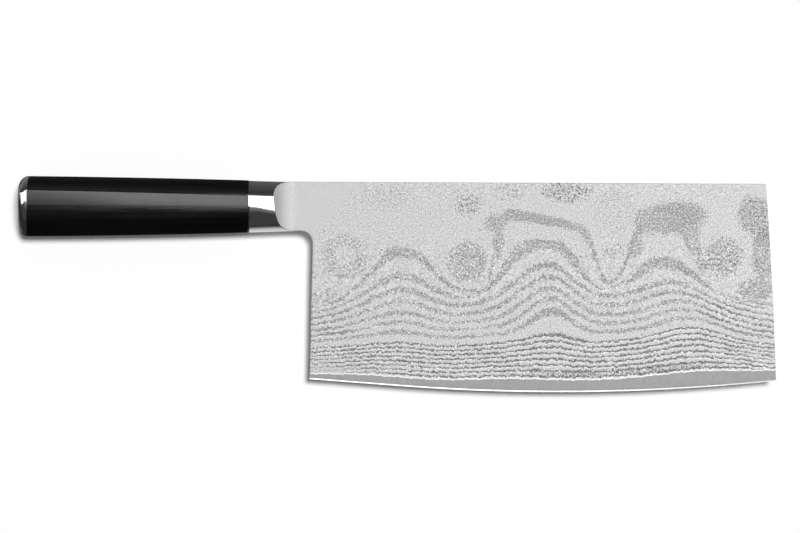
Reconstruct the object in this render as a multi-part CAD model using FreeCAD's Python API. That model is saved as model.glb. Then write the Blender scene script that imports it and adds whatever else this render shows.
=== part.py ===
import FreeCAD, Part
import math
import os

# Chinese cleaver: a laminated blade welded to a scooped bolster, with a ridged grip on a hidden tang.
# Millimetres. +X runs from the butt to the toe, +Y from the cutting edge to the spine, and +Z is up with
# the knife lying on its left side. The pieces are drawn with x = 0 at the butt, y = 0 on the axis of the
# grip and z = 0 in the mid-plane of the blade, and are moved at the end so that the origin is at the
# middle of the underside of the whole knife's box.

# Lengths along the handle, from the butt
cap_length = 3.6
wood_length = 85.4
bolster_length = 18.1

# Grip section where the end cap meets the wood: distances from the axis
rear_top = 11.67
rear_bottom = 11.48
rear_right = 9.6
rear_left = 9.0
rear_ridge = 6.2

# Grip section at the swell
swell_distance = 43.2
swell_top = 11.03
swell_bottom = 11.03
swell_right = 9.15
swell_left = 8.6
swell_ridge = 5.25

# Grip section at the weld: its top and bottom follow the spine and the neck of the blade
front_right = 7.85
front_left = 7.4
front_ridge = 3.6

# Curves of the grip section
ridge_upper_angle = 27.0
ridge_lower_angle = 12.0
top_pull_share = 0.44
upper_pull_share = 0.45
lower_pull_share = 0.31
bottom_pull_share = 0.42
round_pull_share = 0.55

# End cap
cap_rim = 4.6
cap_rim_steps = 6
cap_boss_radius = 6.2
cap_boss_length = 6.0
cap_wall = 1.6

# Bolster
scoop_radius = 8.5
tenon_wall = 2.0
tenon_length = 4.0
socket_depth = 5.0

# Tang and its bed
tang_height = 10.0
tang_thickness = 3.0
tang_end_distance = 14.0
stud_radius = 3.0
stud_lap = 8.0
stud_end_gap = 0.3
bed_wall = 0.5
glue_gap = 0.1

# Blade outline
spine_rise = 9.47
spine_fall = 0.83
neck_drop = 9.5
neck_length = 5.1
back_lean = 1.3
notch_radius = 4.6
heel_drop = 66.7
heel_flat_length = 35.0
heel_flat_angle = 4.35
belly_radius = 812.0
edge_length = 180.0
toe_lean = 4.0
toe_bow = 0.4
toe_corner_radius = 0.8

# Blade section
spine_thickness = 2.3
thickness_behind_edge = 0.6
core_thickness = 0.5
outline_ease = 0.25
thin_bevel_height = 1.3
edge_bevel_height = 0.5
edge_bevel_angle = 16.0
edge_flat = 0.02

# Line where the cladding ends: heights above the cutting edge along the blade
clad_line_height = 6.3
clad_line_shares = [
    (-0.02, 0.29), (0.05, 0.41), (0.11, 0.51), (0.20, 0.53), (0.30, 0.57), (0.41, 0.76), (0.52, 0.75),
    (0.62, 0.73), (0.73, 0.87), (0.835, 1.00), (0.92, 0.84), (1.02, 0.58),
]

# How far cutting tools reach past what they cut, and how near a place counts as the same
overrun = 3.0
same_place = 0.01

# Places along the knife
cap_seam_x = cap_length
wood_seam_x = cap_seam_x + wood_length
weld_x = wood_seam_x + bolster_length
swell_x = cap_seam_x + swell_distance
heel_x = weld_x + neck_length
toe_x = heel_x + edge_length
notch_x = heel_x + back_lean

# Cutting edge: a straight stretch from the heel, then one long arc to the toe
flat_turn = math.radians(heel_flat_angle)
flat_end_x = heel_x + heel_flat_length * math.cos(flat_turn)
flat_end_y = -heel_drop - heel_flat_length * math.sin(flat_turn)
belly_x = flat_end_x + belly_radius * math.sin(flat_turn)
belly_y = flat_end_y + belly_radius * math.cos(flat_turn)
belly_low = belly_y - belly_radius

# The ground faces lean towards each other from the spine to the edge
face_taper = (spine_thickness - thickness_behind_edge) / (2 * (spine_rise - belly_low))

along_x = FreeCAD.Vector(1, 0, 0)
along_y = FreeCAD.Vector(0, 1, 0)
along_z = FreeCAD.Vector(0, 0, 1)


def point(x, y, z=0.0):
    return FreeCAD.Vector(x, y, z)


def edge_y(x):
    """Height of the cutting edge at x."""
    if x < flat_end_x:
        return -heel_drop - (x - heel_x) * math.tan(flat_turn)
    return belly_y - math.sqrt(belly_radius ** 2 - (x - belly_x) ** 2)


def half_thickness(y):
    """Half the thickness of the ground blade at height y."""
    return spine_thickness / 2 + (y - spine_rise) * face_taper


def polygon(points):
    return Part.Face(Part.makePolygon(points + points[:1]))


def slab(x_start, x_end):
    """Block between two planes across the knife, wider and taller than the handle."""
    reach = rear_top + rear_bottom + rear_right + rear_left
    corner = point(x_start, -reach, -reach)
    return Part.makeBox(x_end - x_start, 2 * reach, 2 * reach, corner)


def bezier(points):
    curve = Part.BezierCurve()
    curve.setPoles(points)
    return curve.toShape()


def grip_section(x, top, bottom, right, left, ridge):
    """D-shaped section of the handle: a ridge on the right, an even round on the left."""
    above = math.radians(ridge_upper_angle)
    below = math.radians(ridge_lower_angle)
    upper_pull = (top - ridge) * upper_pull_share
    lower_pull = (ridge + bottom) * lower_pull_share
    half_height = (top + bottom) / 2
    middle = (top - bottom) / 2
    crown = point(x, top)
    sole = point(x, -bottom)
    crest = point(x, ridge, right)
    flank = point(x, middle, -left)
    round_rise = along_y * (half_height * round_pull_share)
    round_width = along_z * (left * round_pull_share)
    crown_pull = along_z * (right * top_pull_share)
    sole_pull = along_z * (right * bottom_pull_share)
    crest_above = crest + point(0, upper_pull * math.cos(above), -upper_pull * math.sin(above))
    crest_below = crest - point(0, lower_pull * math.cos(below), lower_pull * math.sin(below))
    edges = [
        bezier([crown, crown + crown_pull, crest_above, crest]),
        bezier([crest, crest_below, sole + sole_pull, sole]),
        bezier([sole, sole - round_width, flank - round_rise, flank]),
        bezier([flank, flank + round_rise, crown - round_width, crown]),
    ]
    return Part.Wire(edges)


def oval_bar(x_start, x_end, height, width):
    """Bar along X with rounded top and bottom, as wide as given."""
    radius = width / 2
    straight = height - width
    body = Part.makeBox(x_end - x_start, straight, width, point(x_start, -straight / 2, -radius))
    for side in (-1, 1):
        end = Part.makeCylinder(radius, x_end - x_start, point(x_start, side * straight / 2), along_x)
        body = body.fuse(end)
    return body.removeSplitter()


def rod(x_start, x_end, radius):
    return Part.makeCylinder(radius, x_end - x_start, point(x_start, 0), along_x)


def handle_form():
    """Outer form of wood and bolster: one smooth loft from the end cap to the weld."""
    rear = grip_section(cap_seam_x, rear_top, rear_bottom, rear_right, rear_left, rear_ridge)
    swell = grip_section(swell_x, swell_top, swell_bottom, swell_right, swell_left, swell_ridge)
    front = grip_section(weld_x, spine_rise, neck_drop, front_right, front_left, front_ridge)
    return Part.makeLoft([rear, swell, front], True, False)


def cap_form():
    """Outer form of the end cap: the grip section drawn in along a quarter of an ellipse."""
    sections = []
    for step in range(cap_rim_steps):
        turn = math.pi / 2 * step / (cap_rim_steps - 1)
        inset = cap_rim * (1 - math.cos(turn))
        x = cap_seam_x - cap_length * math.sin(turn)
        ridge = rear_ridge * (rear_top - inset) / rear_top
        section = grip_section(
            x, rear_top - inset, rear_bottom - inset, rear_right - inset, rear_left - inset, ridge)
        sections.append(section)
    return Part.makeLoft(sections, True, False)


def vertical_edge(shape, place):
    """Edge that stands through the blade at a corner of its outline."""
    for edge in shape.Edges:
        ends = [point(vertex.X, vertex.Y) for vertex in edge.Vertexes]
        if all(end.distanceToPoint(place) < same_place for end in ends):
            return edge
    raise ValueError("no edge stands at the corner")


def blade_blank():
    """Blade outline cut from sheet, with the notch behind the heel and the toe corner rounded."""
    heel = point(heel_x, -heel_drop)
    flat_end = point(flat_end_x, flat_end_y)
    toe = point(toe_x, edge_y(toe_x))
    toe_top = point(toe_x - toe_lean, spine_rise - spine_fall)
    notch = point(notch_x, -neck_drop)
    middle_x = (flat_end_x + toe_x) / 2
    belly = point(middle_x, edge_y(middle_x))
    chord = toe_top - toe
    bow = point(chord.y, -chord.x).normalize() * toe_bow
    edges = [
        Part.LineSegment(point(weld_x, spine_rise), toe_top).toShape(),
        Part.Arc(toe_top, (toe_top + toe) * 0.5 + bow, toe).toShape(),
        Part.Arc(toe, belly, flat_end).toShape(),
        Part.LineSegment(flat_end, heel).toShape(),
        Part.LineSegment(heel, notch).toShape(),
        Part.LineSegment(notch, point(weld_x, -neck_drop)).toShape(),
        Part.LineSegment(point(weld_x, -neck_drop), point(weld_x, spine_rise)).toShape(),
    ]
    sheet = Part.Face(Part.Wire(edges))
    sheet.translate(along_z * (-spine_thickness / 2))
    blank = sheet.extrude(along_z * spine_thickness)
    blank = blank.makeFillet(notch_radius, [vertical_edge(blank, notch)])
    return blank.makeFillet(toe_corner_radius, [vertical_edge(blank, toe_top)])


def ground_blade():
    """Blank with both faces ground to the taper and the outline's corners eased."""
    high = spine_rise + overrun
    low = belly_low - overrun
    wedge = polygon([
        point(weld_x, high, half_thickness(high)),
        point(weld_x, low, half_thickness(low)),
        point(weld_x, low, -half_thickness(low)),
        point(weld_x, high, -half_thickness(high)),
    ])
    ground = blade_blank().common(wedge.extrude(along_x * (toe_x - weld_x + overrun)))
    faces = [face for face in ground.Faces if abs(face.normalAt(0, 0).z) > math.cos(flat_turn)]
    eased = []
    for face in faces:
        for edge in face.Edges:
            centre = edge.CenterOfMass
            if centre.x > weld_x + same_place and centre.y > -heel_drop:
                eased.append(edge)
    return ground.makeFillet(outline_ease, eased)


def edge_grinder(start_half, slope, side):
    """Tool that grinds one bevel along the straight heel and round the belly."""
    rise = (spine_thickness / 2 - start_half) / slope
    tip = start_half - overrun * slope
    wide = start_half + rise * slope
    outward = point(-math.sin(flat_turn), -math.cos(flat_turn))
    base = point(flat_end_x, flat_end_y)
    profile = polygon([
        base + outward * overrun + along_z * (side * tip),
        base - outward * rise + along_z * (side * wide),
        base + outward * overrun + along_z * (side * wide),
    ])
    back = point(-math.cos(flat_turn), math.sin(flat_turn)) * (heel_flat_length + overrun)
    sweep = math.asin((toe_x + overrun - belly_x) / belly_radius) + flat_turn
    straight = profile.extrude(back)
    round_part = profile.revolve(point(belly_x, belly_y), along_z, math.degrees(sweep))
    return straight.fuse(round_part)


def sharpened_blade():
    """Ground blade with a thinning bevel and the cutting bevel on both sides."""
    edge_slope = math.tan(math.radians(edge_bevel_angle))
    edge_half = edge_flat / 2
    bevel_half = edge_half + edge_bevel_height * edge_slope
    thin_slope = (thickness_behind_edge / 2 - bevel_half) / (thin_bevel_height - edge_bevel_height)
    thin_half = bevel_half - edge_bevel_height * thin_slope
    blade = ground_blade()
    for side in (-1, 1):
        blade = blade.cut(edge_grinder(thin_half, thin_slope, side))
        blade = blade.cut(edge_grinder(edge_half, edge_slope, side))
    return blade


def above_clad_line():
    """Block over everything above the wavy line where the cladding ends."""
    places = []
    for along_share, height_share in clad_line_shares:
        x = heel_x + edge_length * along_share
        places.append(point(x, edge_y(x) + clad_line_height * height_share))
    line = Part.BSplineCurve()
    line.interpolate(places)
    first = places[0]
    last = places[-1]
    back_x = weld_x - overrun
    front_x = toe_x + edge_length
    high = spine_rise + overrun
    border = Part.makePolygon([
        last, point(front_x, last.y), point(front_x, high), point(back_x, high), point(back_x, first.y), first])
    outline = Part.Face(Part.Wire([line.toShape()] + border.Edges))
    outline.translate(along_z * -spine_thickness)
    return outline.extrude(along_z * (2 * spine_thickness))


def blade_layers():
    """The sharpened blade parted into its core and the cladding on either side."""
    blade = sharpened_blade()
    above = above_clad_line()
    depth = spine_rise - belly_low + 2 * overrun
    length = toe_x - weld_x + 2 * overrun
    corner = point(weld_x - overrun, belly_low - overrun, -core_thickness / 2)
    core_sheet = Part.makeBox(length, depth, core_thickness, corner)
    skins = blade.common(above).cut(core_sheet)
    core = blade.cut(above.cut(core_sheet))
    right = max(skins.Solids, key=lambda solid: solid.CenterOfMass.z)
    left = min(skins.Solids, key=lambda solid: solid.CenterOfMass.z)
    return core, right, left


def scoop(side):
    """Hollow on one side of the bolster: an arc that runs out level with the blade's face."""
    tall = rear_right + rear_left + scoop_radius
    reach = spine_rise + neck_drop + 2 * overrun
    half_way = math.pi / 4
    bottom = point(0, 0)
    middle = point(-scoop_radius * math.sin(half_way), 0, scoop_radius * (1 - math.cos(half_way)))
    wall = point(-scoop_radius, 0, scoop_radius)
    border = Part.makePolygon([
        wall, point(-scoop_radius, 0, tall), point(overrun, 0, tall), point(overrun, 0), bottom])
    profile = Part.Face(Part.Wire([Part.Arc(bottom, middle, wall).toShape()] + border.Edges))
    profile.translate(along_y * overrun)
    tool = profile.extrude(along_y * -reach)
    tool.rotate(point(0, 0), along_x, math.degrees(math.atan(face_taper)))
    tool.translate(point(weld_x, spine_rise, spine_thickness / 2))
    if side < 0:
        return tool.mirror(point(0, 0), along_z)
    return tool


def tang_bar():
    length = wood_seam_x + socket_depth - tang_end_distance
    corner = point(tang_end_distance, -tang_height / 2, -tang_thickness / 2)
    return Part.makeBox(length, tang_height, tang_thickness, corner)


def bolster(form, tang):
    """Collar with a scoop on each side, a tenon that enters the wood and a socket for the tang."""
    collar = form.common(slab(wood_seam_x, weld_x))
    for side in (-1, 1):
        collar = collar.cut(scoop(side))
    tenon_height = tang_height + 2 * tenon_wall
    tenon_width = tang_thickness + 2 * tenon_wall
    tenon = oval_bar(wood_seam_x - tenon_length, wood_seam_x, tenon_height, tenon_width)
    return collar.fuse(tenon).cut(tang)


def tang_stud(tang):
    """Round stud, slotted to straddle the end of the tang bar."""
    return rod(cap_wall + stud_end_gap, tang_end_distance + stud_lap, stud_radius).cut(tang)


def end_cap():
    """Rounded cap with a boss that enters the wood and a blind hole for the stud."""
    boss_end = cap_seam_x + cap_boss_length
    body = cap_form().fuse(rod(cap_seam_x, boss_end, cap_boss_radius))
    return body.cut(rod(cap_wall, boss_end + overrun, stud_radius)).removeSplitter()


def channel(x_start, x_end):
    """Space in the wood around the tang and the stud."""
    return oval_bar(x_start, x_end, tang_height + 2 * bed_wall, 2 * stud_radius + 2 * bed_wall)


def handle_grip(form):
    """Wood sleeve with the tang channel, a recess for the tenon and one for the cap's boss."""
    sleeve = form.common(slab(cap_seam_x, wood_seam_x))
    sleeve = sleeve.cut(channel(cap_seam_x - overrun, wood_seam_x + overrun))
    recess_height = tang_height + 2 * tenon_wall + 2 * glue_gap
    recess_width = tang_thickness + 2 * tenon_wall + 2 * glue_gap
    recess_start = wood_seam_x - tenon_length - glue_gap
    sleeve = sleeve.cut(oval_bar(recess_start, wood_seam_x + overrun, recess_height, recess_width))
    counterbore_end = cap_seam_x + cap_boss_length + glue_gap
    return sleeve.cut(rod(cap_seam_x - overrun, counterbore_end, cap_boss_radius + glue_gap))


def adhesive_bed(tang, stud):
    """Epoxy that fills the channel between the cap's boss and the bolster's tenon."""
    fill = channel(cap_seam_x + cap_boss_length, wood_seam_x - tenon_length)
    return fill.cut(tang).cut(stud)


def main():
    os.makedirs("parts", exist_ok=True)
    form = handle_form()
    tang = tang_bar()
    stud = tang_stud(tang)
    core, right, left = blade_layers()
    nodes = {
        "blade_core": core,
        "right_cladding": right,
        "left_cladding": left,
        "bolster": bolster(form, tang),
        "tang_bar": tang,
        "tang_stud": stud,
        "handle_grip": handle_grip(form),
        "adhesive_bed": adhesive_bed(tang, stud),
        "end_cap": end_cap(),
    }
    box = Part.makeCompound(list(nodes.values())).optimalBoundingBox(False, False)
    to_origin = point(-box.Center.x, -box.Center.y, -box.ZMin)
    print("origin moved by", [round(value, 4) for value in to_origin])
    print("box", round(box.XLength, 3), round(box.YLength, 3), round(box.ZLength, 3))
    for name, shape in nodes.items():
        shape.translate(to_origin)
        print(name, "solids", len(shape.Solids), "valid", shape.isValid(), "volume", round(shape.Volume, 2))
        shape.exportStep("parts/" + name + ".step")


main()
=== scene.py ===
import bpy
import numpy as np
from mathutils import Matrix, Vector


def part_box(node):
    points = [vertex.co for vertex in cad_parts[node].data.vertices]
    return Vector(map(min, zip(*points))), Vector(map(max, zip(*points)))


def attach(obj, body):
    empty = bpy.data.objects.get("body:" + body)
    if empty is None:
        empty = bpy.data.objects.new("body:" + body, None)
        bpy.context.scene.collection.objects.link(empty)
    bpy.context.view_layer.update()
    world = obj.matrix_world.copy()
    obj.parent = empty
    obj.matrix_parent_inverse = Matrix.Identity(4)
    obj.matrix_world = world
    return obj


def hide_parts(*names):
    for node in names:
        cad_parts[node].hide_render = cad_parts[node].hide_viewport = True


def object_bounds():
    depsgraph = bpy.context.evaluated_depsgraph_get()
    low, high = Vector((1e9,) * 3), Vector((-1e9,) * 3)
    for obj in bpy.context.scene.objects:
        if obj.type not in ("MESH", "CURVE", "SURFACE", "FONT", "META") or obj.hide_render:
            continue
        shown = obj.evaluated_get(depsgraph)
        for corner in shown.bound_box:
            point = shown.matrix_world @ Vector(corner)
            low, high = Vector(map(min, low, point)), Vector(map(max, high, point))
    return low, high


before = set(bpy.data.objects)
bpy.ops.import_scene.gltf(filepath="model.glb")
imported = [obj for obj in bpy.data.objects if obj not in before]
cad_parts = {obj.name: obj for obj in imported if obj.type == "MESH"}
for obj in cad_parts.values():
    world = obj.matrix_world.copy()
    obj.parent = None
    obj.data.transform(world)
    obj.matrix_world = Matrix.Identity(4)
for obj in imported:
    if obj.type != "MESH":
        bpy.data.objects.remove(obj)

cadLow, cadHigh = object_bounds()
print("frame loaded with", len(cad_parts), "nodes")

# Places are drawn in mm: x from the butt, y from the axis of the grip, z from the mid-plane of the blade
mm = 0.001
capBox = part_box("end_cap")
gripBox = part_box("handle_grip")
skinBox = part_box("right_cladding")
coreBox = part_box("blade_core")
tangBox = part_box("tang_bar")
drawOrigin = np.array([capBox[0].x, (tangBox[0].y + tangBox[1].y) / 2, (tangBox[0].z + tangBox[1].z) / 2])
capSeamX = (gripBox[0].x - capBox[0].x) / mm
woodSeamX = (gripBox[1].x - capBox[0].x) / mm
weldX = (skinBox[0].x - capBox[0].x) / mm
toeX = (coreBox[1].x - capBox[0].x) / mm
searchSteps = 40  # steps of each search for a place, enough for all of them to settle


# Small tools for arrays and meshes

def smoothStep(low, high, value):
    # 3t^2 - 2t^3 of the share t of the way from low to high
    t = np.clip((value - low) / (high - low), 0.0, 1.0)
    return t * t * (3 - 2 * t)


def cubicCurve(a, b, c, d, t):
    # cubic curve with end points a and d and handles b and c
    s = 1 - t
    return s ** 3 * a + 3 * s * s * t * b + 3 * s * t * t * c + t ** 3 * d


def stackPoints(x, y, z):
    # one array of points from three arrays of coordinates
    x, y, z = np.broadcast_arrays(x, y, z)
    return np.stack([x, y, z], axis=-1)


def column(values):
    return np.asarray(values, dtype=float).reshape(-1, 1)


def gridFaces(rows, cols, wrapRows=False, wrapCols=False):
    # quads between neighbours of a grid whose points are numbered row by row
    r = np.arange(rows if wrapRows else rows - 1)[:, None]
    c = np.arange(cols if wrapCols else cols - 1)[None, :]
    nextRow = (r + 1) % rows
    nextCol = (c + 1) % cols
    corners = [r * cols + c, r * cols + nextCol, nextRow * cols + nextCol, nextRow * cols + c]
    return np.stack(np.broadcast_arrays(*corners), axis=-1).reshape(-1, 4)


def fanFaces(ringStart, count, pole, forward):
    # triangles from a ring of points to one pole
    i = np.arange(count)
    j = (i + 1) % count
    pair = (i, j) if forward else (j, i)
    return np.stack([ringStart + pair[0], ringStart + pair[1], np.full(count, pole)], axis=-1)


def signedVolume(points, blocks):
    # sum of the tetrahedra between the origin and every triangle of the faces
    total = 0.0
    for block in blocks:
        first = points[block[:, 0]]
        for k in range(1, block.shape[1] - 1):
            total += np.sum(first * np.cross(points[block[:, k]], points[block[:, k + 1]]))
    return total / 6


def makePiece(name, points, blocks, node, finishes, crease, fields=None):
    # blocks: pairs of a face array and the number of its finish; faces are turned outwards as a whole
    faceArrays = [block for block, finish in blocks]
    if signedVolume(points, faceArrays) < 0:
        faceArrays = [block[:, ::-1] for block in faceArrays]
    faces = [face for block in faceArrays for face in block.tolist()]
    finishNumbers = np.concatenate([np.full(len(block), finish) for block, finish in blocks])
    mesh = bpy.data.meshes.new(name)
    mesh.from_pydata((points * mm + drawOrigin).tolist(), [], faces)
    for finish in finishes:
        mesh.materials.append(finish)
    mesh.polygons.foreach_set("material_index", finishNumbers.astype(np.int32))
    mesh.polygons.foreach_set("use_smooth", np.ones(len(faces), dtype=bool))
    for fieldName, values in (fields or {}).items():
        field = mesh.attributes.new(fieldName, "FLOAT", "POINT")
        field.data.foreach_set("value", np.asarray(values, dtype=np.float32).ravel())
    mesh.update()
    mesh.set_sharp_from_angle(angle=np.radians(crease))
    piece = bpy.data.objects.new(name, mesh)
    bpy.context.scene.collection.objects.link(piece)
    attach(piece, "root")
    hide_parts(node)
    print("made", name, "with", len(faces), "faces")


# Node tools for the finishes

white = (1.0, 1.0, 1.0, 1.0)
black = (0.0, 0.0, 0.0, 1.0)


def newFinish(name):
    finish = bpy.data.materials.new(name)
    finish.use_nodes = True
    return finish, finish.node_tree, finish.node_tree.nodes["Principled BSDF"]


def feed(tree, made, inputs):
    # each input is a fixed value or the socket that feeds it
    for key, value in inputs.items():
        if isinstance(value, bpy.types.NodeSocket):
            tree.links.new(value, made.inputs[key])
        else:
            made.inputs[key].default_value = value


def addNode(tree, kind, inputs, **settings):
    made = tree.nodes.new(kind)
    for key, value in settings.items():
        setattr(made, key, value)
    feed(tree, made, inputs)
    return made


def math(tree, operation, *values):
    return addNode(tree, "ShaderNodeMath", dict(enumerate(values)), operation=operation).outputs[0]


def times(tree, first, second):
    return math(tree, "MULTIPLY", first, second)


def scaleAdd(tree, value, scale, start):
    # value times scale, plus start
    return math(tree, "MULTIPLY_ADD", value, scale, start)


def weighed(tree, first, second, share):
    # sum of two values, with the given share of the first
    return scaleAdd(tree, first, share, times(tree, second, 1 - share))


def ramp(tree, value, fromLow, fromHigh, toLow=0.0, toHigh=1.0):
    inputs = {"Value": value, "From Min": fromLow, "From Max": fromHigh, "To Min": toLow, "To Max": toHigh}
    return addNode(tree, "ShaderNodeMapRange", inputs, interpolation_type="SMOOTHSTEP").outputs["Result"]


def pulse(tree, value, rising, falling):
    # 0, then 1 from the rising range to the falling range, then 0
    return times(tree, ramp(tree, value, *rising), ramp(tree, value, *falling, 1.0, 0.0))


def objectNoise(tree, waves, detail, roughness=0.5):
    # noise on Object coordinates, with its number of waves per metre, alike or for x, y and z
    place = addNode(tree, "ShaderNodeTexCoord", {}).outputs["Object"]
    stretch = tuple(np.broadcast_to(waves, 3).tolist())
    scaled = addNode(tree, "ShaderNodeMapping", {"Vector": place, "Scale": stretch}).outputs["Vector"]
    inputs = {"Vector": scaled, "Scale": 1.0, "Detail": detail, "Roughness": roughness}
    return addNode(tree, "ShaderNodeTexNoise", inputs).outputs["Fac"]


def fieldValue(tree, fieldName):
    return addNode(tree, "ShaderNodeAttribute", {}, attribute_name=fieldName).outputs["Fac"]


def mixColour(tree, share, first, second):
    # inputs 0, 6 and 7 of a colour mix are the share and the two colours
    return addNode(tree, "ShaderNodeMix", {0: share, 6: first, 7: second}, data_type="RGBA").outputs[2]


def relief(tree, height, strength, depth, invert=False):
    inputs = {"Height": height, "Strength": strength, "Distance": depth}
    return addNode(tree, "ShaderNodeBump", inputs, invert=invert).outputs["Normal"]


def grey(level, warm=0.0):
    return (level * (1 + warm), level, level * (1 - warm), 1.0)


# Pattern-welded cladding steel: layer lines, clouds and stipple, all from fields on the blade's surface

plainFields = {"layer": 0.5, "layerSlope": 0.0, "cloud": 0.0, "dotted": 0.0, "etch": 0.0, "rise": 50.0}
patternLook = {
    "lightTone": 0.486,
    "sparseDrop": 0.37,
    "wideDrop": 0.122,
    "lineDrop": 0.104,
    "narrowDrop": 0.265,
    "dropLayers": (0.8, 2.4),
    # painted highlight under each narrow line, where light would catch the groove's lower wall: how much it
    # brightens and where it lies
    "paintedHighlightRise": 0.14,
    "paintedHighlightRanges": ((0.10, 0.20), (0.28, 0.42)),  # share of the way from a line to the next
    "fleckRise": 0.16,
    "fleckSpecks": (0.55, 0.68),
    "speckRange": 0.62,
    "bareSpeckle": 0.3,  # share of the speckle where nothing is etched
    "borderTone": 0.70,
    "borderRise": (0.35, 0.55),
    "borderJag": 0.25,
    "pinkTint": (1.008, 0.994, 1.004, 1.0),
    "greenTint": (0.996, 1.002, 0.993, 1.0),
    "tintRange": (0.4, 0.6),
    "jagLength": 1.3,
    "narrowJag": 0.85,
    "steepSlopes": (0.30, 0.50),  # layers in a mm
    "steepLayers": (0.7, 1.5),
    "steepNarrow": 0.8,
    "footLayers": (6.2, 7.1),
    "halfLayers": (0.6, 2.0),
    "halfWidths": (0.20, 0.22),  # in layers
    "thinLayers": ((6.2, 6.6), (6.96, 7.04)),
    "thinBy": 0.12,
    "lineEase": 0.07,
    "patchRange": (0.32, 0.62),
    "patchShares": (0.48, 0.82),
    "narrowFill": 0.2,
    "loneDensities": (0.05, 0.20),
    "loneBands": (0.02, 0.15),
    "loneCoarse": 0.7,
    "dotLevel": 0.315,
    "dotGain": 0.385,
    "dotEase": 0.10,
    "jagNoise": (900.0, 2.0, 0.6),
    "grainNoise": (1400.0, 2.0, 0.55),
    "speckNoise": (2000.0, 1.0),
    "patchNoise": ((60.0, 260.0, 260.0), 2.0),
    "tintNoise": (70.0, 1.0),
    "roughness": (0.72, 0.78),
    "relief": (0.25, 0.00005),
}


def makePatternSteel():
    look = patternLook
    finish, tree, shader = newFinish("patternSteel")
    layer, slope, cloud, dotted, etch, rise = [fieldValue(tree, name) for name in plainFields]
    jagNoise = objectNoise(tree, *look["jagNoise"])
    grain = objectNoise(tree, *look["grainNoise"])
    speck = objectNoise(tree, *look["speckNoise"])
    patch = objectNoise(tree, *look["patchNoise"])
    tint = objectNoise(tree, *look["tintNoise"])
    # lines are narrow at the foot of the blade and where they crowd on a steep flank
    crowded = ramp(tree, slope, *look["steepSlopes"], 0.0, look["steepNarrow"])
    crowded = times(tree, crowded, ramp(tree, layer, *look["steepLayers"]))
    narrow = math(tree, "MAXIMUM", ramp(tree, layer, *look["footLayers"]), crowded)
    # distance from the nearest layer line: 0 on a line and half a layer between two
    jag = scaleAdd(tree, jagNoise, look["jagLength"] * 2, -look["jagLength"])
    jag = times(tree, jag, ramp(tree, narrow, 0.0, 1.0, 1.0, look["narrowJag"]))
    shifted = scaleAdd(tree, jag, slope, layer)
    fromLine = math(tree, "PINGPONG", shifted, 0.5)
    pastLine = math(tree, "FRACT", shifted)
    half = ramp(tree, layer, *look["halfLayers"], *look["halfWidths"])
    half = scaleAdd(tree, pulse(tree, layer, *look["thinLayers"]), -look["thinBy"], half)
    inner = math(tree, "SUBTRACT", half, look["lineEase"])
    outer = math(tree, "ADD", half, look["lineEase"])
    band = ramp(tree, fromLine, inner, outer, 1.0, 0.0)
    worn = ramp(tree, patch, *look["patchRange"], *look["patchShares"])
    worn = scaleAdd(tree, narrow, look["narrowFill"], worn)
    density = math(tree, "MAXIMUM", times(tree, band, worn), cloud)
    # stipple: the grain is dark where it falls below a level that rises with the density;
    # lone dots are coarser and darker
    lone = math(tree, "MAXIMUM", dotted, ramp(tree, density, *look["loneDensities"], 1.0, 0.0))
    lone = times(tree, lone, ramp(tree, band, *look["loneBands"], 1.0, 0.0))
    coarse = math(tree, "SUBTRACT", jagNoise, grain)
    dots = scaleAdd(tree, coarse, times(tree, lone, look["loneCoarse"]), grain)
    below = math(tree, "SUBTRACT", scaleAdd(tree, density, look["dotGain"], look["dotLevel"]), dots)
    dark = times(tree, ramp(tree, below, -look["dotEase"], look["dotEase"]), etch)
    wideDrop = scaleAdd(tree, lone, look["wideDrop"] - look["sparseDrop"], -look["wideDrop"])
    lineDrop = ramp(tree, layer, *look["dropLayers"], -look["wideDrop"], -look["lineDrop"])
    lineDrop = scaleAdd(tree, narrow, look["lineDrop"] - look["narrowDrop"], lineDrop)
    tone = scaleAdd(tree, dark, math(tree, "MINIMUM", wideDrop, lineDrop), look["lightTone"])
    # a painted highlight just under each narrow line, standing in for light on the lower wall of each etched
    # groove; bright flecks in the stipple and fine speckle all over
    rim = times(tree, pulse(tree, pastLine, *look["paintedHighlightRanges"]), times(tree, narrow, etch))
    tone = scaleAdd(tree, rim, look["paintedHighlightRise"], tone)
    fleck = times(tree, ramp(tree, speck, *look["fleckSpecks"], 0.0, look["fleckRise"]), density)
    tone = scaleAdd(tree, fleck, etch, tone)
    speckle = scaleAdd(tree, speck, look["speckRange"], -look["speckRange"] / 2)
    tone = scaleAdd(tree, speckle, ramp(tree, etch, 0.0, 1.0, look["bareSpeckle"], 1.0), tone)
    # bright jagged line at the end of the cladding
    border = ramp(tree, scaleAdd(tree, jag, look["borderJag"], rise), *look["borderRise"], 1.0, 0.0)
    tone = math(tree, "MAXIMUM", tone, times(tree, border, look["borderTone"]))
    colour = mixColour(tree, ramp(tree, tint, *look["tintRange"]), look["pinkTint"], look["greenTint"])
    steel = addNode(tree, "ShaderNodeVectorMath", {0: colour, "Scale": tone}, operation="SCALE")
    feed(tree, shader, {
        "Base Color": steel.outputs["Vector"],
        "Roughness": ramp(tree, dark, 0.0, 1.0, *look["roughness"]),
        "Normal": relief(tree, dark, *look["relief"], invert=True),
        "Metallic": 1.0,
    })
    return finish


# Plain steels, glue and wood

noiseRange = (0.3, 0.7)  # where most values of a noise lie
coreLook = {
    "scratches": ((1900.0, 420.0, 600.0), 3.0, 0.6),
    "clouds": ((160.0, 240.0, 200.0), 2.0),
    "scratchShare": 0.7,
    "toneRange": (0.34, 0.66),
    "greys": (grey(0.385), grey(0.480)),
    "roughness": (0.82, 0.90),
    "relief": (0.15, 0.00002),
}


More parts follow.
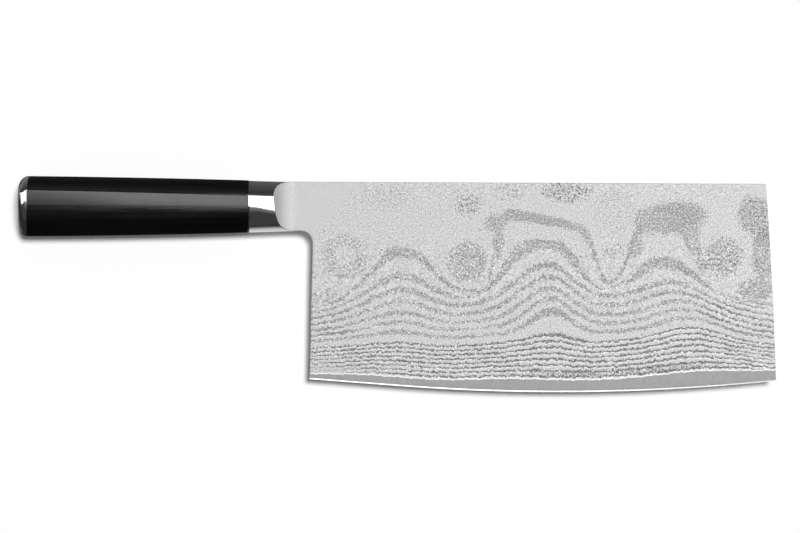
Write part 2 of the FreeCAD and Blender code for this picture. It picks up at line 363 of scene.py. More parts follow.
def makeCoreSteel():
    # ground cutting steel: fine scratches across the edge
    look = coreLook
    finish, tree, shader = newFinish("coreSteel")
    scratches = objectNoise(tree, *look["scratches"])
    tone = weighed(tree, scratches, objectNoise(tree, *look["clouds"]), look["scratchShare"])
    feed(tree, shader, {
        "Base Color": mixColour(tree, ramp(tree, tone, *look["toneRange"]), *look["greys"]),
        "Roughness": ramp(tree, tone, *noiseRange, *look["roughness"]),
        "Normal": relief(tree, scratches, *look["relief"]),
        "Metallic": 1.0,
    })
    return finish


# sharpened bevel: bright, with fine strokes of the stone across it
honedLook = {
    "noise": ((3800.0, 500.0, 900.0), 2.0),
    "colours": (grey(0.76), grey(0.87)),
    "roughness": (0.24, 0.36),
    "metallic": 1.0,
}
# hidden bar and stud: rolled steel, dull and spotted
tangLook = {
    "noise": (300.0, 4.0, 0.6),
    "colours": (grey(0.28, 0.02), grey(0.46, 0.01)),
    "roughness": (0.4, 0.6),
    "metallic": 1.0,
}
# cured glue: amber, cloudy where it was stirred
epoxyLook = {
    "noise": ((180.0, 260.0, 260.0), 3.0),
    "colours": ((0.42, 0.30, 0.13, 1.0), (0.60, 0.48, 0.26, 1.0)),
    "roughness": (0.25, 0.4),
    "metallic": 0.0,
}


def makeMottled(name, look):
    # one noise mixes two colours and changes the roughness
    finish, tree, shader = newFinish(name)
    mottle = objectNoise(tree, *look["noise"])
    feed(tree, shader, {
        "Base Color": mixColour(tree, mottle, *look["colours"]),
        "Roughness": ramp(tree, mottle, *noiseRange, *look["roughness"]),
        "Metallic": look["metallic"],
    })
    return finish


polishedLook = {
    "lines": ((2600.0, 180.0, 180.0), 3.0, 0.65),
    "haze": (140.0, 3.0),
    "lineShare": 0.2,
    "greys": (grey(0.62, 0.008), grey(0.70, 0.008)),
    "wornRange": (0.3, 0.75),
    "roughness": (0.04, 0.075),
}


def makePolishedSteel():
    # buffed mirror steel: faint lines round the handle and a little haze
    look = polishedLook
    finish, tree, shader = newFinish("polishedSteel")
    haze = objectNoise(tree, *look["haze"])
    worn = weighed(tree, objectNoise(tree, *look["lines"]), haze, look["lineShare"])
    feed(tree, shader, {
        "Base Color": mixColour(tree, haze, *look["greys"]),
        "Roughness": ramp(tree, worn, *look["wornRange"], *look["roughness"]),
        "Metallic": 1.0,
    })
    return finish


woodLook = {
    "grain": ((26.0, 900.0, 900.0), 4.0, 0.6),
    "pores": ((240.0, 3200.0, 3200.0), 2.0),
    "clouds": ((60.0, 130.0, 130.0), 2.0),
    "streakShare": 0.7,
    "reliefShare": 0.6,
    "toneRange": (0.36, 0.66),
    "blacks": ((0.0006, 0.0006, 0.0007, 1.0), (0.0022, 0.0021, 0.0020, 1.0)),
    "dullRange": (0.35, 0.65),
    "roughness": (0.09, 0.16),
    "relief": (0.85, 0.00003),
    "index": 1.6,
}


def makeBlackWood():
    # black resin-filled wood: long fine grain, short pores and a rubbed satin surface
    look = woodLook
    finish, tree, shader = newFinish("blackWood")
    grain = objectNoise(tree, *look["grain"])
    streak = weighed(tree, grain, objectNoise(tree, *look["clouds"]), look["streakShare"])
    height = weighed(tree, grain, objectNoise(tree, *look["pores"]), look["reliefShare"])
    feed(tree, shader, {
        "Base Color": mixColour(tree, ramp(tree, streak, *look["toneRange"]), *look["blacks"]),
        "Roughness": ramp(tree, streak, *look["dullRange"], *look["roughness"]),
        "Normal": relief(tree, height, *look["relief"]),
        "IOR": look["index"],
    })
    return finish


patternSteel = makePatternSteel()
coreSteel = makeCoreSteel()
honedSteel = makeMottled("honedSteel", honedLook)
polishedSteel = makePolishedSteel()
tangSteel = makeMottled("tangSteel", tangLook)
epoxy = makeMottled("epoxy", epoxyLook)
blackWood = makeBlackWood()
print("finishes made")


# Handle: one D-shaped section runs through the cap, the wood and the bolster

handleShape = {
    "swellDistance": 43.2,
    "top": (11.67, 11.03, 9.47),
    "bottom": (11.60, 11.15, 9.5),
    "right": (9.6, 9.15, 7.85),
    "left": (9.0, 8.6, 7.4),
    "ridge": (6.4, 5.45, 3.85),
    "upperAngle": np.radians(27.0),
    "lowerAngle": np.radians(12.0),
    "crownPull": 0.44,
    "upperPull": 0.45,
    "lowerPull": 0.31,
    "solePull": 0.42,
    "roundPull": 0.55,
    "crestEase": 0.5,
    "upperPoints": 24,
    "crestPoints": 10,
    "lowerPoints": 44,
    "roundPoints": 28,
    "boxCornerPoints": 10,
    "seamEase": 0.07,
    "seamLean": 0.04,
    "sideLean": 0.06,
    "buttLean": 0.10,
    "leanReach": 9.0,
    "crease": 30.0,
}
rightPoints = handleShape["upperPoints"] + handleShape["crestPoints"] + handleShape["lowerPoints"]
leftPoints = 2 * handleShape["roundPoints"]
aroundPoints = rightPoints + leftPoints


def handleSizes(x):
    # each size follows the parabola through its values at the cap seam, the swell and the weld
    shape = handleShape
    a = capSeamX
    b = capSeamX + shape["swellDistance"]
    c = weldX
    shareA = (x - b) * (x - c) / ((a - b) * (a - c))
    shareB = (x - a) * (x - c) / ((b - a) * (b - c))
    shareC = (x - a) * (x - b) / ((c - a) * (c - b))
    names = ("top", "bottom", "right", "left", "ridge")
    return [shareA * shape[n][0] + shareB * shape[n][1] + shareC * shape[n][2] for n in names]


def handleSection(top, bottom, right, left, ridge, lowerShare=handleShape["lowerPull"]):
    # four cubic curves in (y, z): crown to crest, crest to sole, sole to flank and back to the crown,
    # with a short parabola over the crest; sizes are arrays of rows by points around
    shape = handleShape
    rows = np.shape(top)[0]
    top, bottom, right, left, ridge = [
        np.broadcast_to(v, (rows, aroundPoints)) for v in (top, bottom, right, left, ridge)]
    upperPull = (top - ridge) * shape["upperPull"]
    lowerPull = (ridge + bottom) * lowerShare
    aboveY = ridge + upperPull * np.cos(shape["upperAngle"])
    aboveZ = right - upperPull * np.sin(shape["upperAngle"])
    belowY = ridge - lowerPull * np.cos(shape["lowerAngle"])
    belowZ = right - lowerPull * np.sin(shape["lowerAngle"])
    upperEnd = 1 - shape["crestEase"] / (3 * upperPull)
    lowerStart = shape["crestEase"] / (3 * lowerPull)

    def upperCurve(t, k):
        y = cubicCurve(top[:, k], top[:, k], aboveY[:, k], ridge[:, k], t)
        z = cubicCurve(0.0, right[:, k] * shape["crownPull"], aboveZ[:, k], right[:, k], t)
        return y, z

    def lowerCurve(t, k):
        y = cubicCurve(ridge[:, k], belowY[:, k], -bottom[:, k], -bottom[:, k], t)
        z = cubicCurve(right[:, k], belowZ[:, k], right[:, k] * shape["solePull"], 0.0, t)
        return y, z

    nUpper = shape["upperPoints"]
    nCrest = shape["crestPoints"]
    nRound = shape["roundPoints"]
    upper = slice(0, nUpper)
    crest = slice(nUpper, nUpper + nCrest)
    lower = slice(nUpper + nCrest, rightPoints)
    under = slice(rightPoints, rightPoints + nRound)
    over = slice(rightPoints + nRound, aroundPoints)
    y = np.zeros((rows, aroundPoints))
    z = np.zeros((rows, aroundPoints))
    y[:, upper], z[:, upper] = upperCurve(np.linspace(0, 1, nUpper) * upperEnd[:, upper], upper)
    fromY, fromZ = upperCurve(upperEnd[:, crest], crest)
    toY, toZ = lowerCurve(lowerStart[:, crest], crest)
    t = np.linspace(0, 1, nCrest + 2)[1:-1]
    y[:, crest] = (1 - t) ** 2 * fromY + 2 * t * (1 - t) * ridge[:, crest] + t * t * toY
    z[:, crest] = (1 - t) ** 2 * fromZ + 2 * t * (1 - t) * right[:, crest] + t * t * toZ
    t = np.linspace(0, 1, shape["lowerPoints"], endpoint=False)
    y[:, lower], z[:, lower] = lowerCurve(lowerStart[:, lower] + t * (1 - lowerStart[:, lower]), lower)
    t = np.linspace(0, 1, nRound, endpoint=False)
    half = (top + bottom) / 2
    middle = (top - bottom) / 2
    pull = shape["roundPull"]
    y[:, under] = cubicCurve(
        -bottom[:, under], -bottom[:, under], middle[:, under] - half[:, under] * pull, middle[:, under], t)
    z[:, under] = cubicCurve(0.0, -left[:, under] * pull, -left[:, under], -left[:, under], t)
    y[:, over] = cubicCurve(
        middle[:, over], middle[:, over] + half[:, over] * pull, top[:, over], top[:, over], t)
    z[:, over] = cubicCurve(-left[:, over], -left[:, over], -left[:, over] * pull, 0.0, t)
    return y, z


def ovalRing(x, height, width):
    # flat-sided oval across the handle, numbered from its top over the right side
    turn = np.concatenate([
        np.linspace(0, np.pi, rightPoints, endpoint=False),
        np.linspace(np.pi, 2 * np.pi, leftPoints, endpoint=False)])
    straight = np.where(np.cos(turn) >= 0, 1.0, -1.0) * (height - width) / 2
    return stackPoints(x, np.cos(turn) * width / 2 + straight, np.sin(turn) * width / 2)


def boxRing(x, height, width):
    # rectangle across the handle, numbered the same way
    corner = handleShape["boxCornerPoints"]
    right = np.arange(rightPoints)
    left = np.arange(leftPoints)
    rightStops = [0, corner, rightPoints - corner, rightPoints]
    leftStops = [0, corner, leftPoints - corner, leftPoints]
    down = np.array([1, 1, -1, -1]) * height / 2
    out = np.array([0, 1, 1, 0]) * width / 2
    y = np.concatenate([np.interp(right, rightStops, down), np.interp(left, leftStops, -down)])
    z = np.concatenate([np.interp(right, rightStops, out), np.interp(left, leftStops, -out)])
    return stackPoints(x, y, z)


def insetSection(x, sizes, insetY, insetZ):
    # section drawn in by one length at the top and bottom and another at the sides
    top, bottom, right, left, ridge = sizes
    y, z = handleSection(
        top - insetY, bottom - insetY, right - insetZ, left - insetZ, ridge * (top - insetY) / top)
    return stackPoints(np.broadcast_to(x, y.shape), y, z)


def leanSeam(points):
    # the cap's seam leans with y and its right side leans inwards; both fade along the wood
    shape = handleShape
    x, y, z = np.moveaxis(points, -1, 0)
    fade = 1 - smoothStep(0.0, shape["leanReach"], x - capSeamX)
    fromButt = np.clip(x / capSeamX, 0.0, 1.0)
    sideLean = shape["buttLean"] + (shape["sideLean"] - shape["buttLean"]) * fromButt
    lean = shape["seamLean"] * y * fromButt + sideLean * np.maximum(z, 0.0)
    return stackPoints(x + fade * lean, y, z)


# Black wood sleeve with its channel for the tang

gripShape = {
    "rows": 64,
    "recessLength": 4.1,
    "recessSize": (14.2, 7.2),
    "channelSize": (11.0, 7.0),
    "counterboreLength": 6.1,
    "counterboreSize": (12.6, 12.6),
}


def makeGrip():
    # the section carried from the cap to the bolster, then back along the channel;
    # the rings close on themselves
    shape = gripShape
    ease = handleShape["seamEase"]
    along = np.linspace(capSeamX + ease, woodSeamX - ease, shape["rows"])
    x = column([capSeamX, *along, woodSeamX])
    inset = column([ease, *np.zeros(len(along)), ease])
    outside = insetSection(x, handleSizes(x), inset, inset)
    recessX = woodSeamX - shape["recessLength"]
    boreX = capSeamX + shape["counterboreLength"]
    inside = [
        ovalRing(woodSeamX, *shape["recessSize"]),
        ovalRing(recessX, *shape["recessSize"]),
        ovalRing(recessX, *shape["channelSize"]),
        ovalRing(boreX, *shape["channelSize"]),
        ovalRing(boreX, *shape["counterboreSize"]),
        ovalRing(capSeamX, *shape["counterboreSize"]),
    ]
    rings = leanSeam(np.concatenate([outside, inside]))
    blocks = [(gridFaces(len(rings), aroundPoints, wrapRows=True, wrapCols=True), 0)]
    makePiece(
        "gripWood", rings.reshape(-1, 3), blocks, "handle_grip", [blackWood],
        handleShape["crease"])


# Polished end cap

capShape = {
    "rim": 4.9,
    "sideRim": 3.0,
    "sidePower": 2.6,
    "domeSteps": 30,
    "flatShares": (0.3, 0.65),
    "wall": 1.6,
    "bossLength": 6.0,
    "bossSize": (12.4, 12.4),
    "holeSize": (6.0, 6.0),
}


def makeCap():
    # flat end, then the section let out to the seam, along a quarter of an ellipse at the top and bottom
    # and along a squarer curve at the sides, then the boss and its hole
    shape = capShape
    turn = column(np.linspace(np.pi / 2, 0, shape["domeSteps"]))
    power = shape["sidePower"]
    ease = handleShape["seamEase"]
    insetY = np.concatenate([shape["rim"] * (1 - np.cos(turn)), [[ease]]])
    insetZ = shape["sideRim"] * (1 - (1 - np.sin(turn) ** power) ** (1 / power))
    insetZ = np.concatenate([insetZ, [[ease]]])
    x = np.concatenate([(capSeamX - ease) * (1 - np.sin(turn)), [[capSeamX]]])
    dome = insetSection(x, handleSizes(column([capSeamX])), insetY, insetZ)
    share = np.array(shape["flatShares"])[:, None]
    flat = stackPoints(dome[:1, :, 0], dome[:1, :, 1] * share, dome[:1, :, 2] * share)
    bossX = capSeamX + shape["bossLength"]
    inside = [
        ovalRing(capSeamX, *shape["bossSize"]),
        ovalRing(bossX, *shape["bossSize"]),
        ovalRing(bossX, *shape["holeSize"]),
    ]
    rings = leanSeam(np.concatenate([flat, dome, inside]))
    rings = np.concatenate([rings, ovalRing(shape["wall"], *shape["holeSize"])[None]])
    count = len(rings) * aroundPoints
    poles = np.array([[0.0, 0.0, 0.0], [shape["wall"], 0.0, 0.0]])
    points = np.concatenate([rings.reshape(-1, 3), poles])
    blocks = [
        (gridFaces(len(rings), aroundPoints, wrapCols=True), 0),
        (fanFaces(0, aroundPoints, count, False), 0),
        (fanFaces(count - aroundPoints, aroundPoints, count + 1, True), 0),
    ]
    makePiece("capSteel", points, blocks, "end_cap", [polishedSteel], handleShape["crease"])


# Blade: outline, ground faces and the wavy end of the cladding

bladeShape = {
    "spineRise": 9.47,
    "spineFall": 0.83,
    "neckDrop": 9.5,
    "neckLength": 5.1,
    "backLean": 1.3,
    "notchRadius": 4.6,
    "heelDrop": 66.7,
    "heelFlatLength": 35.0,
    "heelFlatAngle": np.radians(4.35),
    "bellyRadius": 812.0,
    "toeLean": 4.0,
    "toeBow": 0.4,
    "toeCornerRadius": 0.8,
    "spineThickness": 2.3,
    "thicknessBehindEdge": 0.6,
    "coreThickness": 0.5,
    "outlineEase": 0.25,
    "thinBevelHeight": 1.3,
    "edgeBevelHeight": 0.5,
    "edgeBevelSlope": np.tan(np.radians(16.0)),
    "edgeFlat": 0.02,
    "shoulderShare": 0.97,  # most of the bare band that the thinning bevel may take
    "bandEaseShare": 0.6,  # most of the band's half thickness that its ends may lose
    "cladHeight": 6.3,
    "cladAlong": (-0.02, 0.05, 0.11, 0.20, 0.30, 0.41, 0.52, 0.62, 0.73, 0.835, 0.92, 1.02),
    "cladRise": (0.29, 0.41, 0.51, 0.53, 0.57, 0.76, 0.75, 0.73, 0.87, 1.00, 0.84, 0.58),
    "cladJag": 0.11,
    "cladTeeth": ((1.9, 0.0, 1.0), (3.1, 1.0, 0.8), (4.3, 2.0, 0.6), (0.7, 0.0, 0.9)),  # rate, phase, size
    "columns": 270,
    "rows": 104,
    "rimSteps": (0.0, 0.035, 0.08, 0.14, 0.25),
    "rowGap": 0.4,
    "easeReach": 1.0,
    "cornerPoints": 13,
    "notchPoints": 40,
    "toePoints": 400,
    "cladPoints": 1200,
    "outlinePoints": 1600,
    "cladCrease": 35.0,
    "coreCrease": 4.0,
}
heelX = weldX + bladeShape["neckLength"]
notchX = heelX + bladeShape["backLean"]
edgeLength = toeX - heelX
flatEndX = heelX + bladeShape["heelFlatLength"] * np.cos(bladeShape["heelFlatAngle"])
flatEndY = -bladeShape["heelDrop"] - bladeShape["heelFlatLength"] * np.sin(bladeShape["heelFlatAngle"])
bellyX = flatEndX + bladeShape["bellyRadius"] * np.sin(bladeShape["heelFlatAngle"])
bellyY = flatEndY + bladeShape["bellyRadius"] * np.cos(bladeShape["heelFlatAngle"])
bellyLow = bellyY - bladeShape["bellyRadius"]
toeTopX = toeX - bladeShape["toeLean"]
toeTopY = bladeShape["spineRise"] - bladeShape["spineFall"]
faceTaper = (bladeShape["spineThickness"] - bladeShape["thicknessBehindEdge"]) / (
    2 * (bladeShape["spineRise"] - bellyLow))


def edgeY(x):
    # cutting edge: straight from the heel, then an arc of the belly's radius
    straight = -bladeShape["heelDrop"] - (x - heelX) * np.tan(bladeShape["heelFlatAngle"])
    belly = bellyY - np.sqrt(bladeShape["bellyRadius"] ** 2 - (x - bellyX) ** 2)
    return np.where(x < flatEndX, straight, belly)


def halfThickness(y):
    # both faces lean in evenly from the spine to the edge
    return bladeShape["spineThickness"] / 2 + (y - bladeShape["spineRise"]) * faceTaper


toeY = float(edgeY(np.array(toeX)))


def toeEdgeX(y):
    # toe: a leaning line with a slight bow
    q = (y - toeY) / (toeTopY - toeY)
    return toeX - bladeShape["toeLean"] * q + bladeShape["toeBow"] * 4 * q * (1 - q)


def backEdgeX(y):
    # back of the heel: a line from the heel up to the notch
    q = (y + bladeShape["heelDrop"]) / (bladeShape["heelDrop"] - bladeShape["neckDrop"])
    return heelX + bladeShape["backLean"] * q


def splineCurvature(knots, values):
    # second derivatives of the natural cubic spline through the values
    gap = np.diff(knots)
    n = len(knots)
    system = np.eye(n)
    bend = np.zeros(n)
    inner = np.arange(1, n - 1)
    system[inner, inner - 1] = gap[:-1]
    system[inner, inner] = 2 * (gap[:-1] + gap[1:])
    system[inner, inner + 1] = gap[1:]
    bend[1:-1] = 6 * np.diff(np.diff(values) / gap)
    return np.linalg.solve(system, bend)


cladAlong = np.array(bladeShape["cladAlong"])
cladRise = np.array(bladeShape["cladRise"])
cladCurvature = splineCurvature(cladAlong, cladRise)


def cladY(x):
    # end of the cladding: a spline of heights above the edge, with small teeth from four sine waves
    share = (x - heelX) / edgeLength
    k = np.clip(np.searchsorted(cladAlong, share) - 1, 0, len(cladAlong) - 2)
    gap = cladAlong[k + 1] - cladAlong[k]
    a = (cladAlong[k + 1] - share) / gap
    b = 1 - a
    bent = ((a ** 3 - a) * cladCurvature[k] + (b ** 3 - b) * cladCurvature[k + 1]) * gap ** 2 / 6
    height = a * cladRise[k] + b * cladRise[k + 1] + bent
    teeth = sum(size * np.sin(x * rate + phase) for rate, phase, size in bladeShape["cladTeeth"])
    return edgeY(x) + bladeShape["cladHeight"] * height + bladeShape["cladJag"] * teeth


def cladEnd(endX, x):
    # where the end of the cladding meets the back or the toe: each try takes x from the height of the last
    for step in range(searchSteps):
        x = float(endX(cladY(np.array(x))))
    return x


def roundedCorner(corner, towardsA, towardsB, radius, count):
    # arc that touches the lines from the corner towards A and towards B
    a = towardsA / np.linalg.norm(towardsA)
    b = towardsB / np.linalg.norm(towardsB)
    half = np.arccos(np.dot(a, b)) / 2
    centre = corner + (a + b) / np.linalg.norm(a + b) * radius / np.sin(half)
    start = corner + a * radius / np.tan(half) - centre
    end = corner + b * radius / np.tan(half) - centre
    turn = np.arctan2(start[0] * end[1] - start[1] * end[0], np.dot(start, end))
    angle = np.arctan2(start[1], start[0]) + turn * np.linspace(0, 1, count)
    return centre + radius * np.stack([np.cos(angle), np.sin(angle)], axis=-1)


def lineSteps(line):
    return np.linalg.norm(np.diff(line, axis=0), axis=1)


def alongLine(line, shares):
    # points at the given shares of a line's length
    place = np.concatenate([[0.0], np.cumsum(lineSteps(line))])
    place = place / place[-1]
    return np.stack([np.interp(shares, place, line[:, 0]), np.interp(shares, place, line[:, 1])], axis=-1)


def bladeBorders():
    # the four borders of the clad face: spine, toe, end of the cladding, and neck, notch and back
    shape = bladeShape
    cladX = np.linspace(cladEnd(backEdgeX, heelX), cladEnd(toeEdgeX, toeX), shape["cladPoints"])
    bottom = np.stack([cladX, cladY(cladX)], axis=-1)
    toeTop = np.array([toeTopX, toeTopY])
    weldTop = np.array([weldX, shape["spineRise"]])
    downToe = np.array([toeEdgeX(toeTopY - 1) - toeTopX, -1])
    corner = roundedCorner(toeTop, weldTop - toeTop, downToe, shape["toeCornerRadius"], shape["cornerPoints"])
    halfway = shape["cornerPoints"] // 2
    top = np.concatenate([[weldTop], corner[:halfway + 1]])
    toeDown = np.linspace(corner[-1][1], bottom[-1][1], shape["toePoints"])[1:]
    toe = np.concatenate([corner[halfway:], np.stack([toeEdgeX(toeDown), toeDown], axis=-1)])
    notch = np.array([notchX, -shape["neckDrop"]])
    heel = np.array([heelX, -shape["heelDrop"]])
    neck = np.array([weldX, -shape["neckDrop"]])
    fillet = roundedCorner(notch, neck - notch, heel - notch, shape["notchRadius"], shape["notchPoints"])
    back = np.concatenate([[weldTop], [neck], fillet, [bottom[0]]])
    return top, toe, bottom, back


borderTop, borderToe, borderClad, borderBack = bladeBorders()


def bladeGrid():
    # blended patch between the four borders, with close rows and columns where the outline is eased
    shape = bladeShape
    near = np.array(shape["rimSteps"])
    width = lineSteps(borderTop).sum()
    height = lineSteps(borderBack).sum()
    neckShare = (shape["spineRise"] + shape["neckDrop"]) / height
    even = np.linspace(near[-1] / width, 1 - near[-1] / width, shape["columns"])
    u = np.concatenate([near[:-1] / width, even, 1 - near[:-1][::-1] / width])
    rows = np.linspace(near[-1] / height, 1, shape["rows"])
    rows = rows[np.abs(rows - neckShare) * height > shape["rowGap"]]
    v = np.sort(np.concatenate([near[:-1] / height, rows, neckShare - near / height]))
    top = alongLine(borderTop, u)[None]
    bottom = alongLine(borderClad, u)[None]
    back = alongLine(borderBack, v)[:, None]
    toe = alongLine(borderToe, v)[:, None]
    u = u[None, :, None]
    v = v[:, None, None]
    upDown = (1 - v) * top + v * bottom
    corners = (1 - u) * upDown[:, :1] + u * upDown[:, -1:]
    return upDown + (1 - u) * back + u * toe - corners


def outlineDistance(flat):
    # distance in the sheet from the eased parts of the outline: spine, toe, back, notch and neck
    x = flat[..., 0]
    y = flat[..., 1]
    spineShare = (x - weldX) / (toeTopX - weldX)
    distance = bladeShape["spineRise"] - bladeShape["spineFall"] * spineShare - y
    reach = bladeShape["easeReach"]
    shares = np.linspace(0, 1, bladeShape["outlinePoints"])
    wholeBack = np.concatenate([borderBack[1:-1], [[heelX, -bladeShape["heelDrop"]]]])
    wholeToe = np.concatenate([borderToe, [[toeX, toeY]]])
    for line, close in ((wholeBack, x < notchX + reach), (wholeToe, x > toeEdgeX(y) - reach)):
        gaps = np.linalg.norm(flat[close][:, None] - alongLine(line, shares)[None], axis=-1).min(axis=1)
        distance[close] = np.minimum(distance[close], gaps)
    return np.maximum(distance, 0.0)


def easedDrop(distance, radius):
    # how far a rounded corner of that radius falls below the face at a distance from the outline
    inward = np.clip(radius - distance, 0.0, radius)
    return radius - np.sqrt(np.maximum(radius ** 2 - inward ** 2, 0.0))


# Layer pattern: waves of the layers where the forging was pressed, and clouds where a layer lies flat
# Each crest: middle, lifts at the six heights, left and right widths there, powers and slant of its top,
# and the drift of its foot
# Each ring: middle, height, radius, half width, density and the share of it inside
# Each cloud: middle, height, half axes and density; a dotted one also has its coarseness
# Satin: where the bare neck ends, as heights and shares of the edge

crestHeights = (9.8, 12.5, 16.6, 21.1, 23.4, 24.9)
rightPattern = {
    "crests": (
        (0.198, (0.13, 0.20, 0.29, 0.38, 0.44, 0.72), (0.075, 0.078, 0.085, 0.090, 0.092, 0.092),
         (0.060, 0.060, 0.066, 0.075, 0.080, 0.085), (2.2, 2.5), 0.0, 0.0),
        (0.510, (0.37, 0.79, 0.74, 0.70, 0.85, 1.08), (0.075, 0.060, 0.075, 0.092, 0.105, 0.118),
         (0.060, 0.060, 0.070, 0.078, 0.078, 0.110), (12.0, 9.0), 1.5, 0.012),
        (0.660, (0.12, 0.12, 0.12, 0.12, 0.12, 0.16), (0.07, 0.07, 0.07, 0.07, 0.06, 0.05),
         (0.07, 0.07, 0.07, 0.07, 0.06, 0.05), (2.0, 2.0), 0.0, 0.0),
        (0.764, (0.52, 0.46, 0.43, 0.40, 0.53, 1.16), (0.095, 0.080, 0.080, 0.080, 0.079, 0.083),
         (0.100, 0.098, 0.100, 0.098, 0.094, 0.068), (5.0, 2.5), 0.0, 0.047),
    ),
    "middleLift": 0.38,
    "layerRises": (9.8, 12.5, 14.6, 16.6, 18.9, 21.1, 23.4, 24.9, 27.0),
    "lineSpacing": 1.50,
    "rings": ((0.075, 45.5, 6.3, 2.6, 0.40, 0.30), (0.338, 45.5, 4.0, 4.1, 0.56, 0.62)),
    "clouds": (
        (0.713, 60.0, 3.5, 6.0, 0.50), (0.698, 50.6, 3.0, 4.5, 0.55), (0.821, 53.0, 3.5, 5.0, 0.50),
        (0.974, 45.0, 5.0, 12.5, 0.64), (0.829, 46.0, 2.2, 4.0, 0.52), (0.845, 41.0, 3.0, 2.6, 0.50),
        (0.957, 31.2, 8.0, 4.5, 0.66), (0.398, 60.0, 4.5, 4.0, 0.60), (0.405, 52.0, 2.4, 6.0, 0.55),
        (0.196, 48.2, 8.5, 2.3, 0.60), (0.160, 69.0, 10.0, 5.0, 0.24), (0.030, 30.0, 6.0, 3.2, 0.40),
        (0.66, 2.6, 42.0, 1.7, 0.44),
    ),
    "dots": (
        (0.775, 60.0, 14.5, 6.6, 0.64, 0.14), (0.957, 60.2, 8.0, 9.2, 0.48, 0.40),
        (0.655, 65.0, 9.0, 10.0, 0.22, 0.20), (0.550, 72.5, 11.0, 4.5, 0.36, 0.85),
        (0.338, 67.5, 6.5, 4.8, 0.32, 0.80), (0.887, 44.0, 8.2, 8.2, 0.45, 0.30),
        (0.430, 72.0, 6.0, 3.5, 0.26, 0.80), (0.650, 49.0, 5.0, 4.0, 0.26, 0.70),
    ),
}
leftPattern = {
    "crests": (
        (0.120, (0.10, 0.18, 0.30, 0.47, 0.58, 0.70), (0.060, 0.055, 0.060, 0.067, 0.075, 0.080),
         (0.060, 0.055, 0.060, 0.067, 0.072, 0.075), (4.0, 3.0), 0.0, 0.0),
        (0.360, (0.30, 0.50, 0.60, 0.72, 0.85, 0.95), (0.080, 0.060, 0.070, 0.082, 0.092, 0.100),
         (0.080, 0.058, 0.068, 0.082, 0.094, 0.105), (7.0, 10.0), -1.0, -0.010),
        (0.620, (0.15, 0.28, 0.40, 0.52, 0.62, 0.75), (0.060, 0.055, 0.062, 0.071, 0.073, 0.075),
         (0.065, 0.060, 0.070, 0.081, 0.086, 0.090), (3.0, 5.0), 0.0, 0.020),
        (0.860, (0.40, 0.44, 0.50, 0.62, 0.78, 0.95), (0.060, 0.060, 0.068, 0.075, 0.078, 0.080),
         (0.060, 0.060, 0.065, 0.070, 0.072, 0.075), (5.0, 4.0), 0.8, -0.020),
    ),
    "middleLift": 0.36,
    "layerRises": (10.4, 12.9, 14.9, 17.0, 19.2, 21.4, 23.6, 25.8, 29.0),
    "lineSpacing": 1.55,
    "rings": ((0.235, 46.5, 6.6, 2.8, 0.48, 0.35), (0.495, 44.5, 3.8, 3.6, 0.56, 0.62)),
    "clouds": (
        (0.360, 61.0, 12.0, 5.0, 0.65), (0.860, 58.0, 11.0, 6.0, 0.60), (0.995, 40.0, 7.0, 14.0, 0.50),
        (0.120, 66.0, 8.0, 5.0, 0.20), (0.40, 2.4, 40.0, 1.7, 0.44),
    ),
    "dots": (
        (0.620, 71.0, 12.0, 4.5, 0.34, 0.85), (0.735, 46.0, 7.6, 7.6, 0.46, 0.36),
        (0.300, 70.0, 6.0, 4.0, 0.28, 0.80),
    ),
}
bothPatterns = {
    "layerCounts": (7.0, 6.0, 5.0, 4.0, 3.0, 2.0, 1.0, 0.0, -0.5),
    "topPower": 4,
    "highestRise": 90.0,
    "footLineCount": 7,
    "footGap": 1.2,
    "slopeStep": 0.15,
    "steepest": 1.0,
    "ringPower": 8,
    "cloudEdge": (0.65, 1.28),
    "dottedEdge": (0.0, 0.3),
    "satin": ((0.0, 50.0, 58.0, 71.0, 80.0), (-0.05, -0.03, 0.02, 0.085, 0.12)),
    "satinEdge": (-0.015, 0.035),
    "bareCorner": (0.985, 72.0, 9.0, 5.0),
    "bareEdge": (0.6, 1.4),
    "heelShare": 0.22,
    "heelRise": (1.0, 4.8),
    "heelFade": 0.8,
}


def stretchedRise(height, share, pattern):
    # a height is stretched by the long lift of the middle and by the crests, which flatten at the top
    foot, high, almostTop, top = [crestHeights[k] for k in (0, 3, 4, 5)]
    total = 1 + pattern["middleLift"] * np.sin(np.pi * np.clip(share, 0, 1))
    towardsTop = np.clip((height - high) / (top - high), 0, 1) ** bothPatterns["topPower"]
    towardsFoot = np.clip((almostTop - height) / (almostTop - foot), 0, 1)
    for middle, lifts, leftWidths, rightWidths, powers, slant, drift in pattern["crests"]:
        away = share - middle - drift * towardsFoot
        leftWidth = np.interp(height, crestHeights, leftWidths)
        rightWidth = np.interp(height, crestHeights, rightWidths)
        width = np.where(away < 0, leftWidth, rightWidth)
        power = 2 + (np.where(away < 0, powers[0], powers[1]) - 2) * towardsTop
        bell = np.exp(-(np.abs(away) / width) ** power)
        total = total + (np.interp(height, crestHeights, lifts) - slant * away * towardsTop) * bell
    return height * total


def layerNumber(share, rise, pattern):
    # halving finds the unstretched height, and the layer is read from it
    shape = bothPatterns
    low = np.zeros_like(rise)
    high = np.full_like(rise, shape["highestRise"])
    for step in range(searchSteps):
        height = (low + high) / 2
        tooHigh = stretchedRise(height, share, pattern) > rise
        high = np.where(tooHigh, height, high)
        low = np.where(tooHigh, low, height)
    layer = np.interp((low + high) / 2, pattern["layerRises"], shape["layerCounts"])
    # the foot lines share the height under the lowest of these layers evenly
    lowest = stretchedRise(np.full_like(rise, pattern["layerRises"][0]), share, pattern)
    spacing = np.maximum(pattern["lineSpacing"], (lowest - shape["footGap"]) / shape["footLineCount"])
    return np.where(rise < lowest, shape["layerCounts"][0] + (lowest - rise) / spacing, layer)


